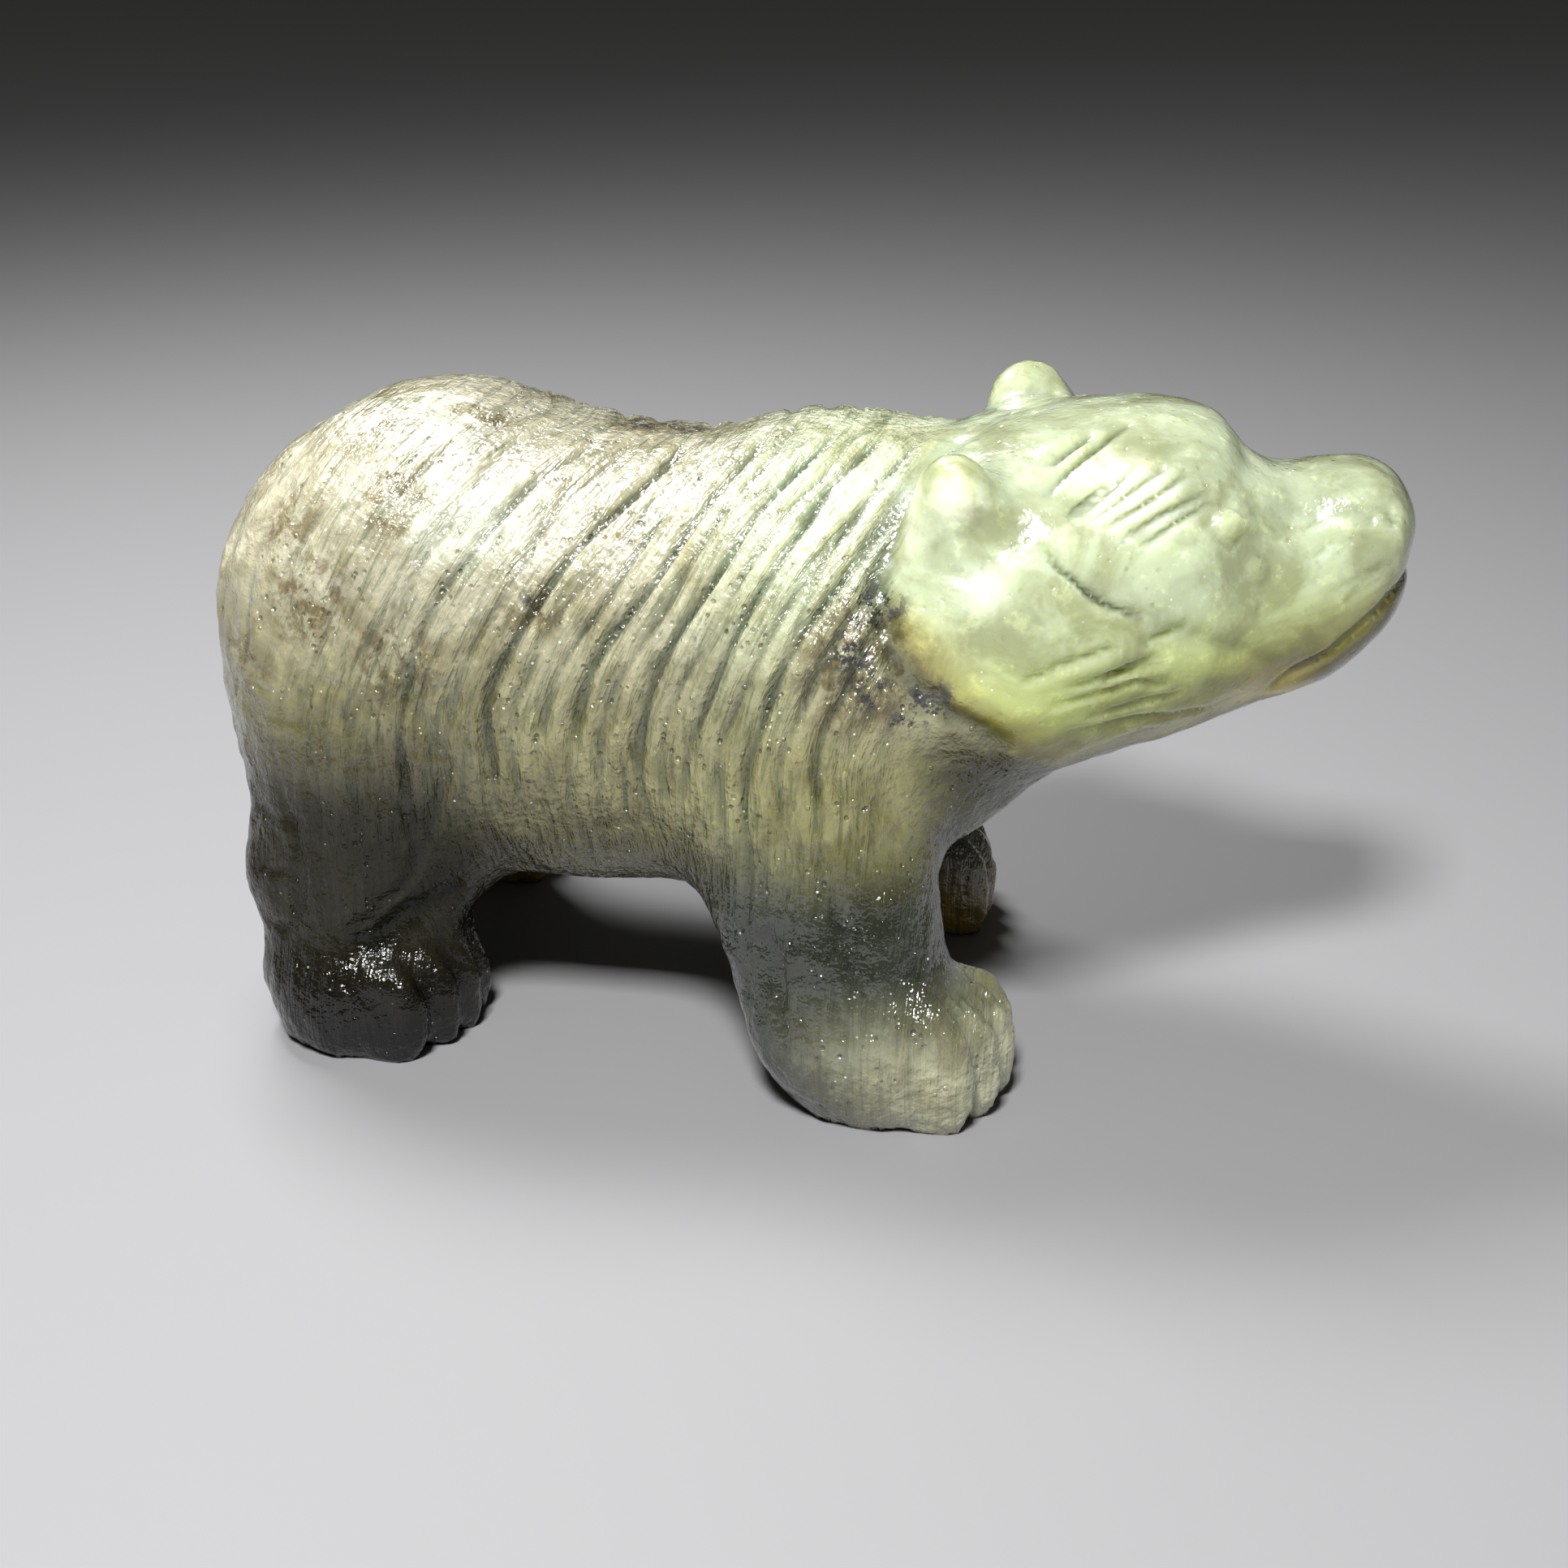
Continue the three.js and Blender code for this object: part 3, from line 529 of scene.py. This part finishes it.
# The head starts at the seam of the ruff, which bends forward at the throat. It is pale green, yellow-green
# on cheek and throat, olive under the jaw, and amber and brown along the seam.
seam_z = [12, 13, 14, 15.1, 16.4, 17.4, 19.3, 21, 25, 27]
seam_x = [14, 13, 12, 10.6, 9.2, 7.5, 6, 5.4, 5.9, 7]
past_seam = x - np.interp(z, seam_z, seam_x)
head = ease(-0.9, 0.7, past_seam)
head_green = (0.5, 0.565, 0.39)
throat_yellow = (0.56, 0.64, 0.21)
jaw_olive = (0.36, 0.34, 0.08)
seam_amber = (0.42, 0.37, 0.07)
seam_brown = (0.2, 0.15, 0.03)
tint(head_green, head)
tint(throat_yellow, head * (1 - ease(16.5, 21.5, z - 0.1 * (x - 12))))
tint(jaw_olive, head * (1 - ease(12.5, 16.5, z - 0.5 * (x - 12))))
tint(seam_amber, 0.8 * head * (1 - ease(0.3, 3.6, past_seam)) * (1 - ease(19, 22, z)))
tint(seam_brown, 0.8 * head * (1 - ease(0, 1.1, past_seam)) * (1 - ease(20, 22, z)))

# Painted shade: the back and the bridge of the nose are toned down where the lamps fall straight on them.
painted_shade_back = (0.3 - 0.2 * ease(-4, 6, x) * (1 - head)) * ease(22.5, 26, z) * ease(-16, -11, x)
painted_shade_nose = 0.3 * ease(21.5, 24, z) * ease(18, 20, x)
shade *= (1 - painted_shade_back)[:, None]
shade *= (1 - painted_shade_nose)[:, None]

# A brown patch behind the cheek, the dark chin with its amber lip and corner, and milky-white painted
# highlights.
lip_x = [19.7, 20.5, 21.9, 23.1, 24.0, 24.6]
lip_z = [16.2, 17.1, 17.8, 19.0, 20.3, 20.8]
below_lip = head * (1 - ease(-0.15, 0.1, z - np.interp(x, lip_x, lip_z))) * ease(18, 20, x)
cheek_brown = (0.24, 0.19, 0.12)
chin_brown = (0.13, 0.115, 0.03)
lip_amber = (0.5, 0.42, 0.1)
corner_yellow = (0.65, 0.55, 0.12)
highlight_white = (0.82, 0.87, 0.76)
tint(cheek_brown, 0.5 * blot((4.6, -8.6, 18.6), 3.4) * (1 - head))
tint(chin_brown, below_lip)
tint(lip_amber, below_lip * (1 - ease(20.5, 22.5, x)))
tint(corner_yellow, 0.8 * blot((19.3, -1.9, 16.5), 1.6) * head)
# Painted highlights on brow, right ear, ruff, cheek, rump and haunch: place, radius and strength of each.
painted_highlights = [
    ((13.9, -4.9, 24.9), 2.2, 0.6), ((8.0, -7.5, 25.0), 1.3, 0.7), ((5.5, -6.0, 23.8), 2.4, 0.5),
    ((9.0, -7.9, 21.8), 1.2, 0.4), ((-13.7, -3.1, 26.0), 2.4, 0.6), ((-11.4, -7.4, 22.9), 2.5, 0.5),
]
for at, radius, weight in painted_highlights:
    tint(highlight_white, weight * blot(at, radius))

# Where the stone is black, stained brown, or strewn with painted glints: place and radius of each patch.
black_patches = [
    ((5.1, -8.1, 20.8), 1.5), ((4.4, -8.6, 19.2), 1.2), ((5.0, -8.5, 17.8), 1.1),
    ((7.3, -8.2, 17.2), 1.4), ((6.4, -8.3, 16.4), 0.8), ((-8.0, -8.5, 20.2), 0.7),
    ((-7.2, -8.6, 19.6), 0.5), ((-6.0, 1.0, 24.9), 1.4), ((-4.0, 0.6, 24.8), 0.9),
    ((-1.6, -8.6, 19.5), 0.4), ((-17.8, -8.3, 20.9), 0.35), ((-16.1, -8.8, 20.1), 0.4),
]
stained_patches = [
    ((4.6, -8.6, 18.6), 3.2), ((-17.4, -8.6, 19.8), 2.6), ((-18.5, -6.9, 22.3), 1.8),
    ((-13.9, -7.4, 23.5), 1.8), ((-15.5, -3.9, 25.6), 2.2), ((-13.5, -9.2, 17.5), 2.4),
    ((-11.9, -2.5, 25.6), 1.6), ((-20.5, -7.5, 16.5), 2.2), ((-6.0, 1.0, 24.9), 2.6),
    ((-8.0, -8.5, 20.0), 1.6),
]
painted_glint_patches = [
    ((3.5, -9.0, 17.5), 5.0), ((3.0, -10.6, 8.8), 3.0), ((8.5, -10.5, 4.5), 3.2),
    ((-15.0, -10.4, 3.0), 2.4), ((-8.0, -8.8, 18.0), 6.0), ((-19.0, -8.0, 18.0), 4.0),
    ((6.0, 5.7, 3.0), 2.5),
]


def lay_on(name, values):
    layer = bear.data.attributes.new(name, "FLOAT", "POINT")
    layer.data.foreach_set("value", values.astype(np.float32))


lay_on("stain", blots(stained_patches))
lay_on("sparks", blots(painted_glint_patches))
# The depth of every cut, which also darkens the colour: partly dirt, partly painted shade.
lay_on("grooved", groove)
lay_on("black", blots(black_patches))
lay_on("clear", spread(head, 30))
lay_on("coat", np.maximum(on_coat, 0.6 * (1 - ease(9, 13, z)) * (1 - head)))
lay_on("dull", (1 - ease(9, 16, z)) * (0.7 + 0.3 * ease(2.6, 5.5, z)) * hind)
lay_on("comb", comb)
lay_on("girth", girth)
tints = bear.data.color_attributes.new("tints", "FLOAT_COLOR", "POINT")
tints.data.foreach_set("color", np.hstack([shade, np.ones((count, 1))]).astype(np.float32).ravel())

labradorite = bpy.data.materials.new("labradorite_polished")
labradorite.use_nodes = True
nodes = labradorite.node_tree.nodes
links = labradorite.node_tree.links
shader = nodes["Principled BSDF"]
shader.inputs["IOR"].default_value = 1.56
shader.inputs["Subsurface Radius"].default_value = (1.0, 0.95, 0.4)
shader.inputs["Subsurface Scale"].default_value = 0.0032
shader.inputs["Coat Roughness"].default_value = 0.06
in_stone = nodes.new("ShaderNodeTexCoord").outputs["Object"]


# Each of these wires up one kind of shader node, and gives back what comes out of it.
def laid(name, output="Fac"):
    node = nodes.new("ShaderNodeAttribute")
    node.attribute_name = name
    return node.outputs[output]


def cloud(where, scale, detail, roughness=0.55, distortion=0.0):
    node = nodes.new("ShaderNodeTexNoise")
    node.inputs["Scale"].default_value = scale
    node.inputs["Detail"].default_value = detail
    node.inputs["Roughness"].default_value = roughness
    node.inputs["Distortion"].default_value = distortion
    links.new(where, node.inputs["Vector"])
    return node.outputs["Fac"]


def cells(where, scale):
    node = nodes.new("ShaderNodeTexVoronoi")
    node.inputs["Scale"].default_value = scale
    links.new(where, node.inputs["Vector"])
    return node


def between(value, from_low, from_high, to_low=0.0, to_high=1.0):
    node = nodes.new("ShaderNodeMapRange")
    node.interpolation_type = "SMOOTHSTEP"
    links.new(value, node.inputs["Value"])
    node.inputs["From Min"].default_value = from_low
    node.inputs["From Max"].default_value = from_high
    node.inputs["To Min"].default_value = to_low
    node.inputs["To Max"].default_value = to_high
    return node.outputs["Result"]


def reckon(kind, a, b):
    node = nodes.new("ShaderNodeMath")
    node.operation = kind
    links.new(a, node.inputs[0])
    if isinstance(b, float):
        node.inputs[1].default_value = b
    else:
        links.new(b, node.inputs[1])
    return node.outputs["Value"]


def dyed(base, colour, weight, how="MULTIPLY"):
    node = nodes.new("ShaderNodeMix")
    node.data_type = "RGBA"
    node.blend_type = how
    links.new(base, node.inputs["A"])
    node.inputs["B"].default_value = (*colour, 1)
    links.new(weight, node.inputs["Factor"])
    return node.outputs["Result"]


def pressed(height, distance, under=None):
    node = nodes.new("ShaderNodeBump")
    node.inputs["Distance"].default_value = distance
    links.new(height, node.inputs["Height"])
    if under is not None:
        links.new(under, node.inputs["Normal"])
    return node.outputs["Normal"]


# Round dots strewn over the stone, used for painted white glints and for proud beads: how closely, how big
# in its cell each is, and what share of the cells holds one.
def speckle(density, size, share):
    node = cells(in_stone, density)
    pick = nodes.new("ShaderNodeSeparateColor")
    links.new(node.outputs["Color"], pick.inputs["Color"])
    near = between(node.outputs["Distance"], size, size * 0.5)
    return reckon("MULTIPLY", near, between(pick.outputs[0], 1 - share, 1.0))


# The clear head lets most light in, and the dark hind legs have least gloss.
clearness = laid("clear")
dullness = laid("dull")
links.new(between(clearness, 0.0, 1.0, 0.3, 0.95), shader.inputs["Subsurface Weight"])
links.new(between(dullness, 0.0, 1.0, 1.0, 0.15), shader.inputs["Coat Weight"])
links.new(between(dullness, 0.0, 1.0, 0.7, 0.25), shader.inputs["Specular IOR Level"])

# The combed grain: hair-fine lines, close together across the strokes and drawn out along them.
hairs_across = 2.6
hairs_along = 0.07
coat = laid("coat")
hair_place = nodes.new("ShaderNodeCombineXYZ")
links.new(reckon("MULTIPLY", laid("comb"), hairs_across), hair_place.inputs["X"])
links.new(reckon("MULTIPLY", laid("girth"), hairs_along), hair_place.inputs["Y"])
hair = cloud(hair_place.outputs["Vector"], scale=1.0, detail=3.5, roughness=0.7, distortion=0.5)

# Clouds in the stone from broad to fine, and pits where soft grains wore out, fewer in the clear head.
milk = cloud(in_stone, scale=330, detail=4, roughness=0.6, distortion=0.6)
mottle = cloud(in_stone, scale=1300, detail=3, roughness=0.65)
fine = cloud(in_stone, scale=3000, detail=2, roughness=0.6)
pit_cells = between(cells(in_stone, scale=2300).outputs["Distance"], 0.30, 0.12)
pit_here = between(cloud(in_stone, scale=420, detail=2), 0.5, 0.62)
pits = reckon("MULTIPLY", pit_cells, pit_here)
pits = reckon("MULTIPLY", pits, between(clearness, 0.2, 0.8, 1.0, 0.35))

# The colours laid over the tints. Those of the clouds, the stains and the pits multiply what is there, as do
# the painted shade between hairs and the grooves' dark, partly dirt, partly painted shade. Black and painted
# glints cover it.
cloudy = (0.55, 0.52, 0.4)
mottled = (1.35, 1.35, 1.3)
hair_valley_shade = (0.55, 0.59, 0.54)
stained = (0.5, 0.43, 0.33)
groove_dirt_and_shade_grey = (0.30, 0.34, 0.30)
groove_dirt_and_shade_green = (0.3, 0.33, 0.13)
pitted = (0.3, 0.28, 0.2)
blackened = (0.03, 0.03, 0.032)
glint_white = (0.95, 0.96, 0.9)
base = laid("tints", "Color")
base = dyed(base, cloudy, between(milk, 0.35, 0.62, 0.8, 0.0))
base = dyed(base, mottled, between(mottle, 0.5, 0.75, 0.0, 0.8))
# Painted shade in the valleys between the combed hairs.
base = dyed(base, hair_valley_shade, reckon("MULTIPLY", between(hair, 0.55, 0.35), coat))
stain_cloud = cloud(in_stone, scale=1100, detail=4, roughness=0.7, distortion=0.4)
base = dyed(base, stained, reckon("MULTIPLY", laid("stain"), between(stain_cloud, 0.42, 0.58)))
# The grooves, rings and holes darkened: partly dirt in them, partly painted shade.
in_grooves = between(laid("grooved"), 0.06, 0.4, 0.0, 0.9)
base = dyed(base, groove_dirt_and_shade_grey, reckon("MULTIPLY", in_grooves, between(clearness, 0.3, 0.7, 1.0, 0.0)))
base = dyed(base, groove_dirt_and_shade_green, reckon("MULTIPLY", in_grooves, between(clearness, 0.3, 0.7)))
base = dyed(base, pitted, reckon("MULTIPLY", pits, 0.6))
black_cloud = cloud(in_stone, scale=1800, detail=4, roughness=0.75)
base = dyed(base, blackened, reckon("MULTIPLY", laid("black"), between(black_cloud, 0.46, 0.56)), "MIX")
# White dots that stand for sparks: painted glints, gathered in the patches of sparks.
glint_cloud = cloud(in_stone, scale=640, detail=3, roughness=0.6)
glints_here = between(reckon("ADD", glint_cloud, reckon("MULTIPLY", laid("sparks"), 0.14)), 0.52, 0.66)
glint_dots = speckle(density=2600, size=0.17, share=0.3)
base = dyed(base, glint_white, reckon("MULTIPLY", glint_dots, glints_here), "MIX")
links.new(base, shader.inputs["Base Color"])

gloss = between(mottle, 0.3, 0.7, 0.1, 0.28)
gloss = reckon("ADD", gloss, reckon("MULTIPLY", pits, 0.1))
links.new(gloss, shader.inputs["Roughness"])

# The skin under the polish, in metres of relief: the hairs, the unevenness of the grain, the pits, tiny
# beads where crystals stand proud and catch the light as sparks, and the finest roughness.
hair_relief = 0.00026
grain_relief = 0.00016
pit_relief = 0.00007
bead_relief = 0.00009
fine_relief = 0.00007
beads_here = between(clearness, 0.2, 0.8, 1.0, 0.25)
rough_here = between(clearness, 0.2, 0.8, 1.0, 0.3)
beads = reckon("MULTIPLY", speckle(density=1900, size=0.2, share=0.5), beads_here)
skin = pressed(reckon("MULTIPLY", hair, coat), hair_relief)
skin = pressed(reckon("MULTIPLY", mottle, rough_here), grain_relief, skin)
skin = pressed(reckon("MULTIPLY", pits, -1.0), pit_relief, skin)
skin = pressed(beads, bead_relief, skin)
skin = pressed(reckon("MULTIPLY", fine, rough_here), fine_relief, skin)
links.new(skin, shader.inputs["Normal"])
links.new(skin, shader.inputs["Coat Normal"])
bear.data.materials.clear()
bear.data.materials.append(labradorite)
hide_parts("polar_bear")
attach(bear, "root")


# The table under it: a plain pale floor, wide enough to fill the view.
bpy.ops.mesh.primitive_plane_add(size=6)
floor = bpy.context.object
floor.name = "floor"
floor_paint = bpy.data.materials.new("floor_paint")
floor_paint.use_nodes = True
floor_shader = floor_paint.node_tree.nodes["Principled BSDF"]
floor_shader.inputs["Base Color"].default_value = (0.2, 0.2, 0.205, 1)
floor_shader.inputs["Roughness"].default_value = 0.7
floor.data.materials.append(floor_paint)


# Soft studio light: one panel above the viewer, which gives the gleams on brow and flank, one behind on the
# left for the back and the shadow, and the even light of a pale room.
lit_point = Vector((0, 0, 0.012))


def panel(name, location, size, power):
    bpy.ops.object.light_add(type="AREA", location=location)
    light = bpy.context.object
    light.name = name
    light.data.size = size
    light.data.energy = power
    light.rotation_euler = (Vector(location) - lit_point).to_track_quat("Z", "Y").to_euler()


panel("back_panel", location=(-0.06, 0.05, 0.15), size=0.05, power=0.38)
panel("front_panel", location=(0.0, -0.105, 0.17), size=0.035, power=0.75)
room = bpy.data.worlds.new("room")
room.use_nodes = True
room_light = room.node_tree.nodes["Background"]
room_light.inputs["Color"].default_value = (1, 0.97, 0.91, 1)
room_light.inputs["Strength"].default_value = 0.07
bpy.context.scene.world = room
bpy.context.scene.view_settings.view_transform = "Standard"
